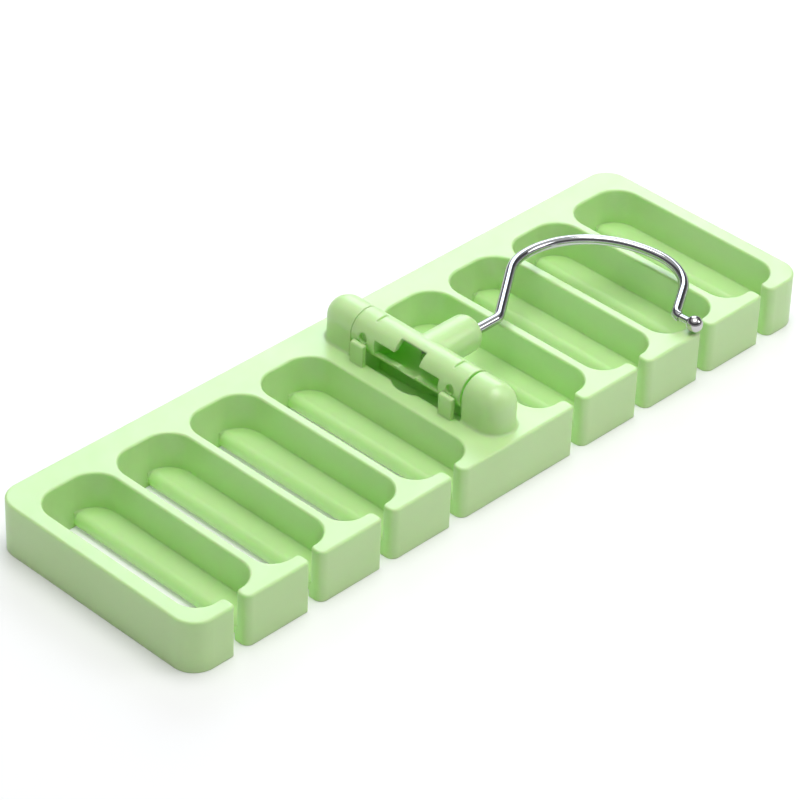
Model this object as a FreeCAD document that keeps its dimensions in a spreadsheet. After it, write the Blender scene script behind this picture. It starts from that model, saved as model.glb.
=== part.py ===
import FreeCAD, Part
import math
import os

import Sketcher

# Tie hanger: a moulded rack with tie slots open to the front, two hinge posts on its centre bar, and a
# knuckle between them whose stem carries a swivelling wire hook.
# The rack lies flat: +X runs along its length, -Y is the front edge with the slits, +Z is up, and the
# origin is the middle of its base. The hook is folded down over the +X half.

DIMENSIONS = {
    # rack moulding
    "rack_length": 300.0,
    "rack_depth": 96.6,
    "rack_height": 20.4,
    "rack_corner_radius": 9.0,
    "rack_wall": 2.2,
    "top_thickness": 2.4,
    "top_edge_radius": 0.8,
    # tie slots
    "slots_per_side": 4,
    "slot_pitch": 33.04,
    "slot_width": 29.3,
    "slot_corner_radius": 10.0,
    "slot_front_radius": 8.5,
    "centre_bar_width": 30.6,
    "front_wall_depth": 5.7,
    "back_bar_depth": 10.9,
    "slit_width": 4.9,
    "slit_inset": 1.3,
    "ledge_width": 10.6,
    "ledge_height": 6.0,
    "ledge_clear_of_base": 1.3,
    "ledge_edge_radius": 3.0,
    "ledge_edge_inset": 0.5,
    "nose_radius": 1.8,
    "nose_flat": 0.3,
    "slit_left_lip_radius": 1.7,
    "slit_right_lip_radius": 3.0,
    # hinge posts, pegs and the recess under the barrel
    "hinge_offset": -0.9,
    "hinge_rise": 8.8,
    "hinge_span": 53.6,
    "post_radius": 7.5,
    "post_length": 8.6,
    "post_base_radius": 1.2,
    "recess_width": 15.4,
    "recess_relief_radius": 10.0,
    "recess_depth": 13.0,
    "peg_spacing": 42.6,
    "peg_width": 6.0,
    "peg_thickness": 1.9,
    "peg_rise": 8.4,
    "peg_lip_radius": 0.9,
    "peg_gap": 0.6,
    # hinge knuckle
    "barrel_radius": 7.5,
    "barrel_wall": 2.0,
    "barrel_end_gap": 0.65,
    "barrel_shift": 0.35,
    "trunnion_radius": 3.2,
    "trunnion_length": 4.2,
    "trunnion_clearance": 0.06,
    "trunnion_end_gap": 0.7,
    "stem_radius": 7.05,
    "stem_reach": 25.9,
    "stem_end_radius": 4.6,
    "window_length": 31.0,
    "window_height": 5.4,
    "seat_depth": 13.4,
    "notch_width": 12.0,
    "notch_rise": 6.6,
    "notch_depth": 6.4,
    "seat_radius": 4.3,
    "detent_spacing": 41.8,
    "detent_radius": 1.9,
    "detent_depth": 1.6,
    "detent_rise": 1.0,
    "mark_spacing": 37.4,
    "mark_width": 0.9,
    "mark_length": 5.6,
    "mark_depth": 0.7,
    # wire hook, bent as a row of straight runs and turns
    "wire_diameter": 3.8,
    "wire_axis_drop": 1.3,
    "wire_clearance": 0.08,
    "wire_tail": 2.4,
    "shank_run": 11.7,
    "shank_turn": 35.3,
    "shank_bend_inside": 3.0,
    "leg_run": 26.0,
    "shoulder_turn": 33.9,
    "shoulder_radius": 21.6,
    "crown_turn": 83.8,
    "crown_radius": 37.1,
    "heel_turn": 66.2,
    "heel_radius": 18.3,
    "heel_run": 12.8,
    "neck_turn": 66.9,
    "neck_inside": 0.8,
    "neck_run": 5.7,
    "neck_diameter": 2.6,
    "ball_diameter": 6.2,
    "ball_socket_depth": 2.6,
    "ball_rest_gap": 0.3,
    # swivel washer and push nut on the wire's inner end
    "washer_diameter": 8.2,
    "washer_thickness": 0.8,
    "swivel_play": 0.05,
    "push_nut_diameter": 7.6,
    "push_nut_thickness": 0.6,
}

# How far a cutting form reaches past the face that it opens.
OVERCUT = 4.0
TINY = 1e-4
HINGE_SIDES = ((1, "back_post"), (-1, "front_post"))
ALONG_X = FreeCAD.Rotation(FreeCAD.Vector(0, 1, 0), 90)
ALONG_Y = FreeCAD.Rotation(FreeCAD.Vector(1, 0, 0), -90)


class Size:
    """A length with the sheet formula that it comes from."""

    def __init__(self, value, text):
        self.value = value
        self.text = text

    def combined(self, other, sign, value):
        other_text = other.text if isinstance(other, Size) else repr(other)
        return Size(value, f"({self.text} {sign} {other_text})")

    def __add__(self, other):
        return self.combined(other, "+", self.value + number(other))

    def __sub__(self, other):
        return self.combined(other, "-", self.value - number(other))

    def __mul__(self, other):
        return self.combined(other, "*", self.value * number(other))

    def __truediv__(self, other):
        return self.combined(other, "/", self.value / number(other))

    def __neg__(self):
        return Size(-self.value, f"(-1 * {self.text})")


def number(size):
    return size.value if isinstance(size, Size) else size


def make_sheet(doc):
    """Fill the sheet and give back each driving dimension as a Size."""
    sheet = doc.addObject("Spreadsheet::Sheet", "dims")
    sizes = {}
    for row, (name, value) in enumerate(DIMENSIONS.items(), start=1):
        sheet.set(f"A{row}", name)
        sheet.set(f"B{row}", str(value))
        sheet.setAlias(f"B{row}", name)
        sizes[name] = Size(value, f"dims.{name}")
    doc.recompute()
    return sizes


def bind(obj, **properties):
    """Tie an object's properties to their sheet formulas."""
    for name, size in properties.items():
        if isinstance(size, Size):
            obj.setExpression(name, size.text)
        else:
            setattr(obj, name, size)


def place(obj, x=None, y=None, z=None, prefix="Placement"):
    """Tie an object's position to the sheet."""
    for axis, size in (("x", x), ("y", y), ("z", z)):
        if size is not None:
            obj.setExpression(f"{prefix}.Base.{axis}", size.text)


def origin_feature(body, role):
    return next(item for item in body.Origin.OriginFeatures if item.Role == role)


def make_body(doc, name):
    body = doc.addObject("PartDesign::Body", name)
    body.Label = name
    return body


def make_sketch(body, name, plane, height=None):
    """A sketch on one of the body's own planes, moved along the plane's normal by a height."""
    sketch = body.newObject("Sketcher::SketchObject", name)
    sketch.AttachmentSupport = [(origin_feature(body, plane), "")]
    sketch.MapMode = "FlatFace"
    if height is not None:
        place(sketch, z=height, prefix="AttachmentOffset")
    return sketch


def constrain(sketch, kind, *arguments, size=None):
    """Add a constraint, and tie its value to the sheet where it has one."""
    if size is None:
        sketch.addConstraint(Sketcher.Constraint(kind, *arguments))
        return
    index = sketch.addConstraint(Sketcher.Constraint(kind, *arguments, number(size)))
    if isinstance(size, Size):
        sketch.setExpression(f"Constraints[{index}]", size.text)


def trimmed_corner(before, corner, after, radius):
    """The two points where a rounding of a square corner meets its sides, and its centre."""
    incoming = (corner - before).normalize()
    outgoing = (after - corner).normalize()
    start = corner - incoming * radius
    end = corner + outgoing * radius
    return start, end, start + outgoing * radius


def square_outline(sketch, corners):
    """A closed outline of level and upright sides. A corner is (x, y, radius), with no radius if sharp."""
    points = [FreeCAD.Vector(number(x), number(y), 0) for x, y, radius in corners]
    count = len(points)
    sides = []
    for index in range(count):
        start, end = points[index], points[(index + 1) % count]
        direction = (end - start).normalize()
        start_trim = number(corners[index][2]) if corners[index][2] else 0.0
        end_trim = number(corners[(index + 1) % count][2]) if corners[(index + 1) % count][2] else 0.0
        line = Part.LineSegment(start + direction * start_trim, end - direction * end_trim)
        sides.append(sketch.addGeometry(line))
    for index in range(count):
        upright = abs(points[index].x - points[(index + 1) % count].x) < 1e-9
        constrain(sketch, "Vertical" if upright else "Horizontal", sides[index])
        if upright:
            constrain(sketch, "DistanceX", -1, 1, sides[index], 1, size=corners[index][0])
        else:
            constrain(sketch, "DistanceY", -1, 1, sides[index], 1, size=corners[index][1])
    for index in range(count):
        radius = corners[index][2]
        before, after = sides[index - 1], sides[index]
        if not radius:
            constrain(sketch, "Coincident", before, 2, after, 1)
            continue
        previous, corner, following = points[index - 1], points[index], points[(index + 1) % count]
        start, end, centre = trimmed_corner(previous, corner, following, number(radius))
        turns_left = (corner - previous).cross(following - corner).z > 0
        first, last = (start, end) if turns_left else (end, start)
        circle = Part.Circle(centre, FreeCAD.Vector(0, 0, 1), number(radius))
        arc = sketch.addGeometry(Part.ArcOfCircle(circle, circle.parameter(first), circle.parameter(last)))
        entry, leave = (1, 2) if turns_left else (2, 1)
        constrain(sketch, "Tangent", before, 2, arc, entry)
        constrain(sketch, "Tangent", arc, leave, after, 1)
        constrain(sketch, "Radius", arc, size=radius)


def rectangle(sketch, left, right, front, back, radius=None):
    square_outline(sketch, [(left, front, radius), (right, front, radius), (right, back, radius),
                            (left, back, radius)])


def circle_outline(sketch, y, radius):
    """A circle on the sketch's upright axis, at its origin if it has no place."""
    centre = FreeCAD.Vector(0, number(y) if y else 0, 0)
    index = sketch.addGeometry(Part.Circle(centre, FreeCAD.Vector(0, 0, 1), number(radius)))
    constrain(sketch, "Radius", index, size=radius)
    if y is None:
        constrain(sketch, "Coincident", index, 3, -1, 1)
        return
    constrain(sketch, "PointOnObject", index, 3, -2)
    constrain(sketch, "DistanceY", -1, 1, index, 3, size=y)


def pad(body, name, sketch, length):
    feature = body.newObject("PartDesign::Pad", name)
    feature.Profile = sketch
    bind(feature, Length=length)
    return feature


def pocket(body, name, sketch, length=None, upward=False):
    """A cut from a sketch, downward unless told otherwise, right through if it has no length."""
    feature = body.newObject("PartDesign::Pocket", name)
    feature.Profile = sketch
    feature.Reversed = upward
    if length is None:
        feature.Type = "ThroughAll"
    else:
        bind(feature, Length=length)
    return feature


def cut(doc, body, make_feature):
    """Make a cutting feature and see that it takes material away."""
    doc.recompute()
    before = body.Shape.Volume
    feature = make_feature()
    doc.recompute()
    if body.Shape.Volume >= before - 1e-6:
        raise RuntimeError(f"{feature.Name} cuts nothing")
    return feature


def pattern_row(body, name, count, spacing):
    """One row of a pattern along the rack."""
    row = body.newObject("PartDesign::LinearPattern", name)
    row.Direction = (origin_feature(body, "X_Axis"), [""])
    row.Mode = "Spacing"
    bind(row, Occurrences=count, Offset=spacing)
    return row


def slot_pattern(body, name, original, s):
    """Repeat a slot feature along one half of the rack, and that row on the other half."""
    pattern = body.newObject("PartDesign::MultiTransform", name)
    pattern.Originals = [original]
    pattern.Transformations = [
        pattern_row(body, f"{name}_row", s["slots_per_side"], s["slot_pitch"]),
        pattern_row(body, f"{name}_halves", 2, s["half_shift"]),
    ]
    body.Tip = pattern
    return pattern


def add_derived_sizes(sizes):
    """Places that several pieces share, worked out from the driving dimensions."""
    s = sizes
    s["rack_front"] = -(s["rack_depth"] / 2)
    s["rack_back"] = s["rack_depth"] / 2
    s["slot_front"] = s["rack_front"] + s["front_wall_depth"]
    s["slot_back"] = s["rack_back"] - s["back_bar_depth"]
    s["row_length"] = s["slot_pitch"] * (s["slots_per_side"] - 1) + s["slot_width"]
    s["half_shift"] = s["row_length"] + s["centre_bar_width"]
    s["slot_left"] = -(s["row_length"] + s["centre_bar_width"] / 2)
    s["slot_right"] = s["slot_left"] + s["slot_width"]
    s["gap_right"] = s["slot_right"] - s["ledge_width"]
    s["slit_right"] = s["gap_right"] - s["slit_inset"]
    s["slit_left"] = s["slit_right"] - s["slit_width"]
    s["nose_bend_radius"] = s["slot_right"] - s["slit_right"] - s["nose_radius"] - s["nose_flat"]
    s["hinge_height"] = s["rack_height"] + s["hinge_rise"]
    s["wire_height"] = s["hinge_height"] - s["wire_axis_drop"]
    s["post_face"] = s["hinge_span"] / 2
    s["dome_centre"] = s["post_face"] + s["post_length"]
    s["seat_face"] = s["seat_depth"] - s["barrel_radius"]
    s["wire_radius"] = s["wire_diameter"] / 2
    s["push_nut_face"] = s["seat_face"] - s["washer_thickness"] - s["swivel_play"]
    s["tail_end"] = s["push_nut_face"] - s["push_nut_thickness"] - s["wire_tail"]
    s["shank_end"] = s["stem_reach"] + s["shank_run"]


def slot_outline(sketch, s, margin):
    """A tie slot's rounded window, grown by a margin for the wall around it."""
    left, right = s["slot_left"] - margin, s["slot_right"] + margin
    front, back = s["slot_front"] - margin, s["slot_back"] + margin
    back_radius = s["slot_corner_radius"] + margin
    square_outline(sketch, [(left, front, s["slot_front_radius"] + margin),
                            (right, front, s["nose_bend_radius"] + margin),
                            (right, back, back_radius), (left, back, back_radius)])


def slit_mouth(s):
    """The corners of a slit's way out through the front wall, from its left block round to its right one."""
    left, right = s["slit_left"], s["slit_right"]
    left_lip, right_lip = s["slit_left_lip_radius"], s["slit_right_lip_radius"]
    front, outside = s["rack_front"], s["rack_front"] - OVERCUT
    return [
        (left, s["slot_front"], s["nose_radius"]),
        (left, front, left_lip),
        (left - left_lip * 2, front, None),
        (left - left_lip * 2, outside, None),
        (right + right_lip * 2, outside, None),
        (right + right_lip * 2, front, None),
        (right, front, right_lip),
    ]


def well_outline(sketch, s):
    """A slot above its ledge, open to the front through the slit."""
    square_outline(sketch, [
        (s["slot_right"], s["slot_back"], s["slot_corner_radius"]),
        (s["slot_left"], s["slot_back"], s["slot_corner_radius"]),
        (s["slot_left"], s["slot_front"], s["slot_front_radius"]),
        *slit_mouth(s),
        (s["slit_right"], s["slot_front"], s["nose_radius"]),
        (s["slot_right"], s["slot_front"], s["nose_bend_radius"]),
    ])


def gap_outline(sketch, s):
    """The part of a slot that goes right through, beside its ledge."""
    square_outline(sketch, [
        (s["gap_right"], s["slot_back"], None),
        (s["slot_left"], s["slot_back"], s["slot_corner_radius"]),
        (s["slot_left"], s["slot_front"], s["slot_front_radius"]),
        *slit_mouth(s),
        (s["slit_right"], s["slot_front"], None),
        (s["gap_right"], s["slot_front"], None),
    ])


def ledge_edge_outline(sketch, s):
    """The section, along the rack, of what the rounding takes off a ledge's free edge."""
    edge, top = s["gap_right"], s["ledge_height"]
    reach = s["ledge_edge_radius"] + s["ledge_edge_inset"]
    square_outline(sketch, [
        (edge - reach, top - reach, None),
        (edge, top - reach, None),
        (edge, top, s["ledge_edge_radius"]),
        (edge + reach, top, None),
        (edge + reach, top + reach, None),
        (edge - reach, top + reach, None),
    ])


def make_rack_shell(doc, body, s):
    """The plate with its skirt, open underneath."""
    outline = make_sketch(body, "rack_outline", "XY_Plane")
    half = s["rack_length"] / 2
    rectangle(outline, -half, half, s["rack_front"], s["rack_back"], s["rack_corner_radius"])
    pad(body, "rack_block", outline, s["rack_height"])

    hollow = make_sketch(body, "hollow_outline", "XY_Plane")
    wall = s["rack_wall"]
    rectangle(hollow, -half + wall, half - wall, s["rack_front"] + wall, s["rack_back"] - wall,
              s["rack_corner_radius"] - wall)
    hollow_depth = s["rack_height"] - s["top_thickness"]
    cut(doc, body, lambda: pocket(body, "underside_hollow", hollow, hollow_depth, upward=True))


def make_slots(doc, body, s):
    """The walled tie slots: a well to each ledge, a gap right through beside it, a slit to the front."""
    sleeve = make_sketch(body, "slot_wall_outline", "XY_Plane")
    slot_outline(sleeve, s, s["rack_wall"])
    slot_pattern(body, "slot_walls", pad(body, "slot_wall", sleeve, s["rack_height"]), s)

    mouth = make_sketch(body, "slit_wall_outline", "XY_Plane")
    rectangle(mouth, s["slit_left"] - s["rack_wall"], s["slit_right"] + s["rack_wall"], s["rack_front"],
              s["slot_front"])
    slot_pattern(body, "slit_walls", pad(body, "slit_wall", mouth, s["rack_height"]), s)

    well_sketch = make_sketch(body, "well_outline", "XY_Plane", s["rack_height"])
    well_outline(well_sketch, s)
    well_depth = s["rack_height"] - s["ledge_height"]
    well = cut(doc, body, lambda: pocket(body, "slot_well", well_sketch, well_depth))
    slot_pattern(body, "slot_wells", well, s)

    gap_sketch = make_sketch(body, "gap_outline", "XY_Plane", s["rack_height"])
    gap_outline(gap_sketch, s)
    gap = cut(doc, body, lambda: pocket(body, "slot_gap", gap_sketch))
    slot_pattern(body, "slot_gaps", gap, s)

    under_sketch = make_sketch(body, "ledge_under_outline", "XY_Plane")
    slot_outline(under_sketch, s, 0.0)
    lift = s["ledge_clear_of_base"]
    under = cut(doc, body, lambda: pocket(body, "ledge_under", under_sketch, lift, upward=True))
    slot_pattern(body, "ledge_undersides", under, s)

    edge_front = s["slot_front"] + s["ledge_edge_inset"]
    edge_length = s["slot_back"] - s["ledge_edge_inset"] - edge_front
    edge_sketch = make_sketch(body, "ledge_edge_outline", "XZ_Plane", -edge_front)
    ledge_edge_outline(edge_sketch, s)
    edge = cut(doc, body, lambda: pocket(body, "ledge_edge", edge_sketch, edge_length))
    slot_pattern(body, "ledge_edges", edge, s)
    doc.recompute()


def edge_names(shape, wanted):
    """The names of the edges whose middle point passes a test."""
    names = []
    for index, edge in enumerate(shape.Edges, start=1):
        middle = edge.valueAt((edge.FirstParameter + edge.LastParameter) / 2)
        if wanted(middle):
            names.append(f"Edge{index}")
    return names


def fillet(doc, body, name, names, radius):
    feature = body.newObject("PartDesign::Fillet", name)
    feature.Base = (feature.BaseFeature, names)
    bind(feature, Radius=radius)
    doc.recompute()
    return feature


def primitive(body, kind, name, at=(None, None, None), turned=None, **sizes):
    """A box, cylinder or sphere feature with its sizes and its place tied to the sheet."""
    feature = body.newObject(f"PartDesign::{kind}", name)
    if turned is not None:
        feature.Placement.Rotation = turned
    bind(feature, **sizes)
    place(feature, *at)
    return feature


def carve(doc, body, kind, name, at=(None, None, None), turned=None, **sizes):
    """Cut a box or cylinder out of a body."""
    return cut(doc, body, lambda: primitive(body, f"Subtractive{kind}", name, at, turned, **sizes))


def make_posts(doc, body, s):
    """Two posts of the barrel's section with domed outer ends."""
    foot = s["rack_height"] - s["top_thickness"] / 2
    rise = s["hinge_height"] - foot
    radius, length = s["post_radius"], s["post_length"]
    for side, name in HINGE_SIDES:
        dome = s["hinge_offset"] + s["dome_centre"] * side
        start = s["hinge_offset"] + s["post_face"] if side > 0 else dome
        primitive(body, "AdditiveBox", name, (-radius, start, foot),
                  Length=radius * 2, Width=length, Height=rise)
        primitive(body, "AdditiveCylinder", f"{name}_crown", (None, start, s["hinge_height"]), ALONG_Y,
                  Radius=radius, Height=length)
        primitive(body, "AdditiveCylinder", f"{name}_end", (None, dome, foot), Radius=radius, Height=rise)
        primitive(body, "AdditiveSphere", f"{name}_dome", (None, dome, s["hinge_height"]), Radius=radius)
    doc.recompute()

    height = number(s["rack_height"])
    reach = number(radius) + TINY
    face = number(s["post_face"]) + TINY

    def at_post_foot(middle):
        beside = abs(middle.y - number(s["hinge_offset"]))
        return abs(middle.z - height) < TINY and abs(middle.x) < reach and beside > face

    fillet(doc, body, "post_feet", edge_names(body.Shape, at_post_foot), s["post_base_radius"])


def make_hinge_seat(doc, body, s):
    """The recess under the barrel, the trunnion holes, and the two pegs that click into the barrel."""
    wall = s["rack_wall"]
    pan_reach = s["recess_relief_radius"] + wall
    pan_front = s["hinge_offset"] - s["post_face"] - wall
    pan_bottom = s["rack_height"] - s["recess_depth"] - wall
    pan_height = s["recess_depth"] + wall - s["top_thickness"] / 2
    primitive(body, "AdditiveBox", "recess_pan", (-pan_reach, pan_front, pan_bottom),
              Length=pan_reach * 2, Width=s["hinge_span"] + wall * 2, Height=pan_height)
    recess = make_sketch(body, "recess_outline", "XY_Plane", s["rack_height"])
    half = s["recess_width"] / 2
    rectangle(recess, -half, half, s["hinge_offset"] - s["post_face"], s["hinge_offset"] + s["post_face"])
    cut(doc, body, lambda: pocket(body, "barrel_recess", recess, s["recess_depth"]))
    relief = make_sketch(body, "relief_outline", "XY_Plane", s["rack_height"])
    circle_outline(relief, s["hinge_offset"], s["recess_relief_radius"])
    cut(doc, body, lambda: pocket(body, "tail_relief", relief, s["recess_depth"]))

    hole_depth = s["trunnion_length"] + s["trunnion_end_gap"]
    hole_radius = s["trunnion_radius"] + s["trunnion_clearance"]
    peg_foot = s["rack_height"] - s["top_thickness"] / 2
    peg_height = s["peg_rise"] + s["top_thickness"] / 2
    peg_outside = -(s["barrel_radius"] + s["peg_gap"] + s["peg_thickness"])
    for side, name in HINGE_SIDES:
        face = s["hinge_offset"] + s["post_face"] * side
        carve(doc, body, "Cylinder", f"{name}_hole", (None, face - hole_depth, s["hinge_height"]), ALONG_Y,
              Radius=hole_radius, Height=hole_depth * 2)
        peg_front = s["hinge_offset"] + s["peg_spacing"] / 2 * side - s["peg_width"] / 2
        primitive(body, "AdditiveBox", f"{name}_peg", (peg_outside, peg_front, peg_foot),
                  Length=s["peg_thickness"], Width=s["peg_width"], Height=peg_height)
    doc.recompute()

    top = number(s["rack_height"] + s["peg_rise"])
    outside = number(peg_outside)

    def at_peg_lip(middle):
        return abs(middle.z - top) < TINY and abs(middle.x - outside) < TINY

    fillet(doc, body, "peg_lips", edge_names(body.Shape, at_peg_lip), s["peg_lip_radius"])


def make_rack(doc, s):
    body = make_body(doc, "rack_moulding")
    make_rack_shell(doc, body, s)
    make_slots(doc, body, s)
    height = number(s["rack_height"])
    rim = edge_names(body.Shape, lambda middle: abs(middle.z - height) < TINY)
    fillet(doc, body, "top_edges", rim, s["top_edge_radius"])
    make_posts(doc, body, s)
    make_hinge_seat(doc, body, s)
    return body


def hinge_place(s, height, tilt=0.0):
    """The frame of a piece on the hinge, at a height over its middle, turned about the stem by a tilt."""
    base = FreeCAD.Vector(0, number(s["hinge_offset"]), number(height))
    return FreeCAD.Placement(base, FreeCAD.Rotation(FreeCAD.Vector(1, 0, 0), tilt))


def make_knuckle(doc, s):
    """Barrel, trunnions and stem in one, with the window through which the hook's inner end is fitted."""
    body = make_body(doc, "hinge_knuckle")
    barrel_length = s["hinge_span"] - s["barrel_end_gap"] * 2
    barrel_front = s["barrel_shift"] - barrel_length / 2
    primitive(body, "AdditiveCylinder", "barrel", (None, barrel_front, None), ALONG_Y,
              Radius=s["barrel_radius"], Height=barrel_length)
    primitive(body, "AdditiveCylinder", "stem", turned=ALONG_X,
              Radius=s["stem_radius"], Height=s["stem_reach"])
    doc.recompute()
    reach = number(s["stem_reach"])
    rim = edge_names(body.Shape, lambda middle: abs(middle.x - reach) < TINY)
    fillet(doc, body, "stem_end", rim, s["stem_end_radius"])
    trunnion_span = s["hinge_span"] + s["trunnion_length"] * 2
    trunnion_front = s["barrel_shift"] - trunnion_span / 2
    primitive(body, "AdditiveCylinder", "trunnions", (None, trunnion_front, None), ALONG_Y,
              Radius=s["trunnion_radius"], Height=trunnion_span)

    outside = -(s["barrel_radius"] + OVERCUT)
    window_front = -(s["window_length"] / 2)
    carve(doc, body, "Cylinder", "barrel_hollow", (None, window_front, None), ALONG_Y,
          Radius=s["barrel_radius"] - s["barrel_wall"], Height=s["window_length"])
    carve(doc, body, "Box", "window", (outside, window_front, -(s["window_height"] / 2)),
          Length=-outside, Width=s["window_length"], Height=s["window_height"])
    notch_length = s["notch_depth"] - s["barrel_radius"] - outside
    carve(doc, body, "Box", "notch", (outside, -(s["notch_width"] / 2), None),
          Length=notch_length, Width=s["notch_width"], Height=s["notch_rise"])
    wire_level = -s["wire_axis_drop"]
    carve(doc, body, "Cylinder", "washer_seat", (outside, None, wire_level), ALONG_X,
          Radius=s["seat_radius"], Height=s["seat_face"] - outside)
    carve(doc, body, "Cylinder", "wire_bore", (None, None, wire_level), ALONG_X,
          Radius=s["wire_radius"] + s["wire_clearance"], Height=s["stem_reach"] + OVERCUT)
    for side, name in HINGE_SIDES:
        detent_middle = s["detent_spacing"] / 2 * side
        carve(doc, body, "Cylinder", f"{name}_detent", (outside, detent_middle, s["detent_rise"]), ALONG_X,
              Radius=s["detent_radius"], Height=s["detent_depth"] - s["barrel_radius"] - outside)
        mark_front = s["mark_spacing"] / 2 * side - s["mark_width"] / 2
        carve(doc, body, "Box", f"{name}_mark",
              (-(s["mark_length"] / 2), mark_front, s["barrel_radius"] - s["mark_depth"]),
              Length=s["mark_length"], Width=s["mark_width"], Height=s["mark_depth"] + OVERCUT)
    body.Placement = hinge_place(s, s["hinge_height"])
    return body


def wire_bends(s):
    """The bends after the straight shank: turn (positive to the left), radius, and the run after it."""
    shank_radius = s["wire_radius"] + s["shank_bend_inside"]
    neck_radius = s["wire_radius"] + s["neck_inside"]
    return [
        (s["shank_turn"], shank_radius, s["leg_run"]),
        (-s["shoulder_turn"], s["shoulder_radius"], None),
        (-s["crown_turn"], s["crown_radius"], None),
        (-s["heel_turn"], s["heel_radius"], s["heel_run"]),
        (s["neck_turn"], neck_radius, None),
    ]


def heading_vector(degrees):
    return FreeCAD.Vector(math.cos(math.radians(degrees)), math.sin(math.radians(degrees)), 0)


class WirePath:
    """The hook's centre line, drawn bend by bend into a sketch."""

    def __init__(self, sketch, s):
        self.sketch = sketch
        self.heading = 0.0
        self.end = FreeCAD.Vector(number(s["shank_end"]), 0, 0)
        start = FreeCAD.Vector(number(s["tail_end"]), 0, 0)
        self.last = sketch.addGeometry(Part.LineSegment(start, self.end))
        self.last_point = 2
        constrain(sketch, "Horizontal", self.last)
        constrain(sketch, "PointOnObject", self.last, 1, -1)
        constrain(sketch, "DistanceX", -1, 1, self.last, 1, size=s["tail_end"])
        constrain(sketch, "DistanceX", -1, 1, self.last, 2, size=s["shank_end"])
        for turn, radius, run in wire_bends(s):
            self.bend(turn, radius)
            if run is not None:
                self.straight(run)

    def join(self, geometry, first_point, last_point):
        index = self.sketch.addGeometry(geometry)
        constrain(self.sketch, "Tangent", self.last, self.last_point, index, first_point)
        self.last = index
        self.last_point = last_point

    def straight(self, run):
        end = self.end + heading_vector(self.heading) * number(run)
        self.join(Part.LineSegment(self.end, end), 1, 2)
        constrain(self.sketch, "Distance", self.last, size=run)
        self.end = end

    def bend(self, turn, radius):
        left = number(turn) > 0
        side = 90 if left else -90
        centre = self.end + heading_vector(self.heading + side) * number(radius)
        entry = self.heading - side
        leave = entry + number(turn)
        circle = Part.Circle(centre, FreeCAD.Vector(0, 0, 1), number(radius))
        arc = Part.ArcOfCircle(circle, math.radians(min(entry, leave)), math.radians(max(entry, leave)))
        self.join(arc, 1 if left else 2, 2 if left else 1)
        constrain(self.sketch, "Radius", self.last, size=radius)
        span = turn if left else -turn
        angle = Size(math.radians(span.value), f"({span.text} * 1 deg)")
        constrain(self.sketch, "Angle", self.last, size=angle)
        self.heading += number(turn)
        self.end = centre + heading_vector(leave) * number(radius)


def make_hook(doc, s):
    """The wire, its ball and the push nut on its tail, turned together until the ball lies low."""
    wire = make_body(doc, "hook_wire")
    spine = make_sketch(wire, "wire_line", "XY_Plane")
    path = WirePath(spine, s)
    section = make_sketch(wire, "wire_section", "YZ_Plane", s["tail_end"])
    circle_outline(section, None, s["wire_radius"])
    doc.recompute()
    pipe = wire.newObject("PartDesign::AdditivePipe", "wire")
    pipe.Profile = section
    pipe.Spine = (spine, [f"Edge{index}" for index in range(1, len(spine.Shape.Edges) + 1)])

    onward = FreeCAD.Rotation(FreeCAD.Vector(0, 0, 1), path.heading)
    neck = primitive(wire, "AdditiveCylinder", "neck", Radius=s["neck_diameter"] / 2, Height=s["neck_run"])
    neck.Placement = FreeCAD.Placement(path.end, onward * ALONG_X)

    ball = make_body(doc, "tip_ball")
    ball_radius = s["ball_diameter"] / 2
    socket_end = ball_radius - s["ball_socket_depth"]
    primitive(ball, "AdditiveSphere", "ball", Radius=ball_radius)
    carve(doc, ball, "Cylinder", "socket", (socket_end, None, None), ALONG_X,
          Radius=s["neck_diameter"] / 2, Height=s["ball_diameter"])
    ball_centre = path.end + heading_vector(path.heading) * number(s["neck_run"] + socket_end)

    push_nut = make_ring(doc, "push_nut", s["push_nut_diameter"], s["wire_radius"], s["push_nut_thickness"],
                         s["push_nut_face"])

    drop = number(s["wire_height"] - s["rack_height"] - ball_radius - s["ball_rest_gap"])
    resting = hinge_place(s, s["wire_height"], math.degrees(math.asin(drop / abs(ball_centre.y))))
    wire.Placement = resting
    push_nut.Placement = resting
    facing_wire = onward * FreeCAD.Rotation(FreeCAD.Vector(0, 0, 1), 180)
    ball.Placement = resting.multiply(FreeCAD.Placement(ball_centre, facing_wire))
    return [wire, ball, push_nut]


def make_ring(doc, name, outer, bore_radius, thickness, face):
    """A flat ring round the stem's axis, its face toward the stem at a place along that axis."""
    body = make_body(doc, name)
    back = face - thickness
    primitive(body, "AdditiveCylinder", f"{name}_disc", (back, None, None), ALONG_X,
              Radius=outer / 2, Height=thickness)
    carve(doc, body, "Cylinder", f"{name}_bore", (back - OVERCUT, None, None), ALONG_X,
          Radius=bore_radius, Height=thickness + OVERCUT * 2)
    return body


def make_washer(doc, s):
    body = make_ring(doc, "thrust_washer", s["washer_diameter"], s["wire_radius"] + s["wire_clearance"],
                     s["washer_thickness"], s["seat_face"])
    body.Placement = hinge_place(s, s["wire_height"])
    return body


def failed_objects(doc):
    return [item.Name for item in doc.Objects if {"Invalid", "Error"} & set(item.State)]


def main():
    doc = FreeCAD.newDocument("tie_hanger")
    sizes = make_sheet(doc)
    add_derived_sizes(sizes)
    hinge = [make_rack(doc, sizes), make_knuckle(doc, sizes), make_washer(doc, sizes)]
    bodies = hinge + make_hook(doc, sizes)
    doc.recompute()
    failed = failed_objects(doc)
    if failed:
        raise RuntimeError(f"failed objects: {failed}")
    for body in bodies:
        if body.Shape.isNull() or not body.Shape.isValid():
            raise RuntimeError(f"{body.Label} has no valid shape")
    os.makedirs("parts", exist_ok=True)
    for body in bodies:
        body.Shape.exportStep(f"parts/{body.Label}.step")
        box = body.Shape.BoundBox
        print(body.Label, round(body.Shape.Volume, 1), len(body.Shape.Solids), box)


main()
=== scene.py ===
import math

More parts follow.
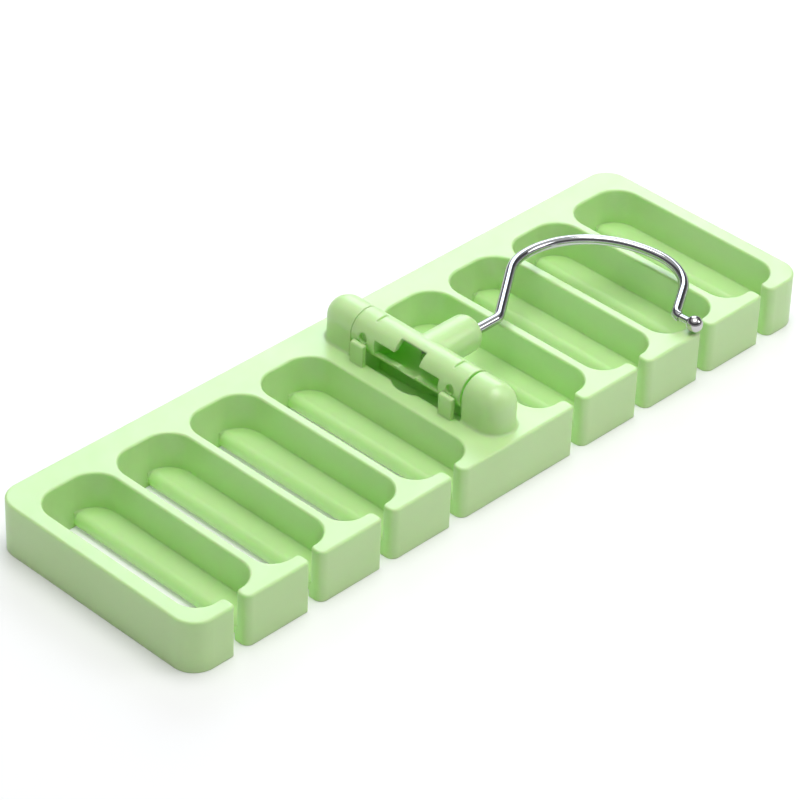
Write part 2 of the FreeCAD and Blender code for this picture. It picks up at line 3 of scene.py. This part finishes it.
import bpy
from mathutils import Matrix, Vector

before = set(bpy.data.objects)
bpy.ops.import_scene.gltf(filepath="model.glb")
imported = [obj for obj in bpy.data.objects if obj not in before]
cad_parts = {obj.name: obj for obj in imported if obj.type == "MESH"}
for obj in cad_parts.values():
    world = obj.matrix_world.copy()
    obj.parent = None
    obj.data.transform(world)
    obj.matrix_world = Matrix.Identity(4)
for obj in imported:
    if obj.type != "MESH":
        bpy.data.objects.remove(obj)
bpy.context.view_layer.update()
scene = bpy.context.scene

# Colours, as linear RGB
MINT = (0.560, 0.815, 0.360)
PALE_MINT = (0.590, 0.840, 0.390)
# Painted light: a brighter, more saturated green put into hollows in place of light bounced inside the
# plastic
PAINTED_HOLLOW_LIGHT_MINT = (0.540, 0.930, 0.240)
WIRE_CHROME = (0.550, 0.556, 0.575)
BALL_CHROME = (0.570, 0.555, 0.565)
PLAIN_STEEL = (0.460, 0.460, 0.450)
FLOOR_WHITE = (0.80, 0.80, 0.80)
WHITE = (1.0, 1.0, 1.0)
COOL_WHITE = (0.88, 0.98, 1.12)

# The floor, in metres. Where it is seen it glows by itself, little near the rack and more farther out.
FLOOR_HALF = 3.0
FLOOR_DROP = 0.0002
NEAR_REACH, NEAR_GLOW = 0.3, 0.18
FAR_REACH, FAR_GLOW = 1.0, 0.8

# The room's brightness by height: a light horizon, a dark middle and a light ceiling
ROOM_BANDS = [(0.0, 0.38), (0.2, 0.38), (0.35, 0.08), (0.62, 0.08), (0.8, 0.6), (1.0, 0.6)]

# Square lamps: name, place and side in metres, power in watts, colour
LAMPS = [
    ("overhead", (0.05, -0.05, 1.3), 0.8, 9.8, WHITE),
    ("back_softbox", (1.05, 1.0, 0.9), 0.95, 9.6, COOL_WHITE),
    ("right_softbox", (0.75, -0.85, 0.85), 0.5, 3.0, WHITE),
]


# Node helpers

def new_material(name):
    """A material with a Principled shader, and the functions that add nodes and plug them into it."""
    material = bpy.data.materials.new(name)
    material.use_nodes = True
    nodes, links = material.node_tree.nodes, material.node_tree.links
    shader = nodes["Principled BSDF"]

    def add(kind, inputs=None, **properties):
        node = nodes.new(kind)
        for key, value in properties.items():
            setattr(node, key, value)
        for key, value in (inputs or {}).items():
            if isinstance(value, bpy.types.NodeSocket):
                links.new(value, node.inputs[key])
            else:
                node.inputs[key].default_value = value
        return node

    def plug(socket, key):
        links.new(socket, shader.inputs[key])

    return material, shader, add, plug


def opaque(color):
    return (*color, 1.0)


def spread(add, value, low, high):
    """A noise value spread from its usual middle band to a range."""
    node = add("ShaderNodeMapRange", {"Value": value, "From Min": 0.3, "From Max": 0.7,
                                      "To Min": low, "To Max": high})
    return node.outputs["Result"]


def mixed(add, factor, a, b):
    """A colour between two others."""
    node = add("ShaderNodeMix", {"Factor": factor, "A": a, "B": b}, data_type="RGBA")
    return node.outputs["Result"]


def math_node(add, operation, a, b):
    return add("ShaderNodeMath", {0: a, 1: b}, operation=operation).outputs["Value"]


# Materials

def mint_plastic():
    """Moulded plastic: soft edges, slight clouding and a fine satin grain, with painted light in its
    hollows: a deeper, brighter green stands in for light bounced inside the cavities.
    """
    material, shader, add, plug = new_material("mint_plastic")
    place = add("ShaderNodeTexCoord").outputs["Object"]

    cloud = add("ShaderNodeTexNoise", {"Vector": place, "Scale": 22.0, "Detail": 3.0, "Distortion": 0.6})
    tint = mixed(add, spread(add, cloud.outputs["Fac"], 0.0, 1.0), opaque(MINT), opaque(PALE_MINT))
    # Painted light: where ambient occlusion finds a hollow, the colour is pushed towards a brighter,
    # deeper green, standing in for light bounced inside the cavity
    openness = add("ShaderNodeAmbientOcclusion", {"Distance": 0.015}, samples=8)
    painted_hollow_light = add("ShaderNodeMapRange", {"Value": openness.outputs["AO"],
                                        "From Min": 0.45, "From Max": 0.15})
    plug(mixed(add, painted_hollow_light.outputs["Result"], tint, opaque(PAINTED_HOLLOW_LIGHT_MINT)), "Base Color")

    skin = add("ShaderNodeTexNoise", {"Vector": place, "Scale": 160.0, "Detail": 4.0})
    plug(spread(add, skin.outputs["Fac"], 0.30, 0.40), "Roughness")

    soft_edge = add("ShaderNodeBevel", {"Radius": 0.0008}, samples=6)
    grain = add("ShaderNodeTexNoise", {"Vector": place, "Scale": 2600.0, "Detail": 2.0})
    bump = add("ShaderNodeBump", {"Strength": 0.05, "Distance": 0.0001, "Height": grain.outputs["Fac"],
                                  "Normal": soft_edge.outputs["Normal"]})
    plug(bump.outputs["Normal"], "Normal")

    shader.inputs["Subsurface Weight"].default_value = 0.45
    shader.inputs["Subsurface Radius"].default_value = (0.5, 1.0, 0.3)
    shader.inputs["Subsurface Scale"].default_value = 0.003
    shader.inputs["IOR"].default_value = 1.54
    shader.inputs["Specular IOR Level"].default_value = 0.75
    return material


def plated_metal(name, color, roughness, streak_scale):
    """Bright plating with faint drawing streaks and a slight haze."""
    material, shader, add, plug = new_material(name)
    place = add("ShaderNodeTexCoord").outputs["Object"]

    streak = add("ShaderNodeTexNoise", {"Vector": place, "Scale": streak_scale, "Detail": 5.0,
                                        "Distortion": 0.3})
    plug(spread(add, streak.outputs["Fac"], roughness * 0.7, roughness * 1.4), "Roughness")
    bump = add("ShaderNodeBump", {"Strength": 0.04, "Distance": 0.0001, "Height": streak.outputs["Fac"]})
    plug(bump.outputs["Normal"], "Normal")

    haze = add("ShaderNodeTexNoise", {"Vector": place, "Scale": 45.0, "Detail": 2.0})
    dull = tuple(channel * 0.93 for channel in color)
    plug(mixed(add, spread(add, haze.outputs["Fac"], 0.0, 1.0), opaque(dull), opaque(color)), "Base Color")
    shader.inputs["Metallic"].default_value = 1.0
    return material


def floor_material():
    """White sweep: it keeps the shadows near the rack, and is seen at full white farther out."""
    material, shader, add, plug = new_material("white_floor")
    shader.inputs["Base Color"].default_value = opaque(FLOOR_WHITE)
    shader.inputs["Roughness"].default_value = 0.9
    shader.inputs["Specular IOR Level"].default_value = 0.0

    path = add("ShaderNodeLightPath").outputs
    place = add("ShaderNodeTexCoord").outputs["Object"]
    reach = add("ShaderNodeVectorMath", {0: place}, operation="LENGTH")
    glow = add("ShaderNodeMapRange", {"Value": reach.outputs["Value"],
                                      "From Min": NEAR_REACH, "From Max": FAR_REACH,
                                      "To Min": NEAR_GLOW, "To Max": FAR_GLOW})
    direct = math_node(add, "MULTIPLY", path["Is Camera Ray"], glow.outputs["Result"])
    mirrored = math_node(add, "MULTIPLY", path["Is Glossy Ray"], NEAR_GLOW)
    shader.inputs["Emission Color"].default_value = opaque(WHITE)
    plug(math_node(add, "ADD", direct, mirrored), "Emission Strength")
    return material


plastic = mint_plastic()
steel = plated_metal("plain_steel", PLAIN_STEEL, 0.35, 600.0)
node_materials = {
    "rack_moulding": plastic,
    "hinge_knuckle": plastic,
    "hook_wire": plated_metal("chrome_wire", WIRE_CHROME, 0.08, 420.0),
    "tip_ball": plated_metal("chrome_ball", BALL_CHROME, 0.07, 300.0),
    "thrust_washer": steel,
    "push_nut": steel,
}
for name, material in node_materials.items():
    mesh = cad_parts[name].data
    mesh.materials.clear()
    mesh.materials.append(material)


# Floor, light and camera

def make_floor():
    mesh = bpy.data.meshes.new("floor")
    corners = [(-FLOOR_HALF, -FLOOR_HALF, 0), (FLOOR_HALF, -FLOOR_HALF, 0),
               (FLOOR_HALF, FLOOR_HALF, 0), (-FLOOR_HALF, FLOOR_HALF, 0)]
    mesh.from_pydata(corners, [], [(0, 1, 2, 3)])
    mesh.materials.append(floor_material())
    floor = bpy.data.objects.new("floor", mesh)
    floor.location.z = -FLOOR_DROP
    scene.collection.objects.link(floor)


def area_lamp(name, place, side, power, color):
    """A square soft lamp that faces the middle of the rack."""
    data = bpy.data.lights.new(name, "AREA")
    data.shape = "SQUARE"
    data.size = side
    data.energy = power
    data.color = color
    lamp = bpy.data.objects.new(name, data)
    lamp.location = place
    lamp.rotation_euler = (-Vector(place)).to_track_quat("-Z", "Y").to_euler()
    scene.collection.objects.link(lamp)


def make_world(bands):
    """A room in bands of grey, given as (height, brightness) from the horizon up to straight overhead."""
    world = bpy.data.worlds.new("room")
    world.use_nodes = True
    nodes, links = world.node_tree.nodes, world.node_tree.links
    coordinates = nodes.new("ShaderNodeTexCoord")
    split = nodes.new("ShaderNodeSeparateXYZ")
    ramp = nodes.new("ShaderNodeValToRGB")
    stops = ramp.color_ramp.elements
    while len(stops) < len(bands):
        stops.new(1.0)
    for stop, (height, brightness) in zip(stops, bands):
        stop.position = height
        stop.color = opaque((brightness, brightness, brightness))
    links.new(coordinates.outputs["Generated"], split.inputs["Vector"])
    links.new(split.outputs["Z"], ramp.inputs["Fac"])
    links.new(ramp.outputs["Color"], nodes["Background"].inputs["Color"])
    scene.world = world


def make_camera(azimuth, elevation, roll, distance, shift_right, shift_up, focal_px, image_px):
    """A camera turned round the rack's base, at the photograph's angle."""
    a, e, r = math.radians(azimuth), math.radians(elevation), math.radians(roll)
    back = Vector((math.sin(a) * math.cos(e), -math.cos(a) * math.cos(e), math.sin(e)))
    level = Vector((math.cos(a), math.sin(a), 0.0))
    upright = back.cross(level)
    right = level * math.cos(r) + upright * math.sin(r)
    up = upright * math.cos(r) - level * math.sin(r)
    data = bpy.data.cameras.new("camera")
    data.sensor_width = 36.0
    data.lens = focal_px * data.sensor_width / image_px
    data.clip_start = 0.05
    data.clip_end = 20.0
    camera = bpy.data.objects.new("camera", data)
    place = back * distance + right * shift_right + up * shift_up
    turn = Matrix((right, up, back)).transposed().to_4x4()
    camera.matrix_world = Matrix.Translation(place) @ turn
    scene.collection.objects.link(camera)
    scene.camera = camera


make_floor()
make_world(ROOM_BANDS)
for lamp_values in LAMPS:
    area_lamp(*lamp_values)
make_camera(azimuth=-46.388, elevation=35.633, roll=2.07, distance=1.29757, shift_right=-0.005593,
            shift_up=0.008927, focal_px=3724.17, image_px=800)

scene.cycles.max_bounces = 14
scene.cycles.diffuse_bounces = 10
scene.view_settings.view_transform = "Standard"
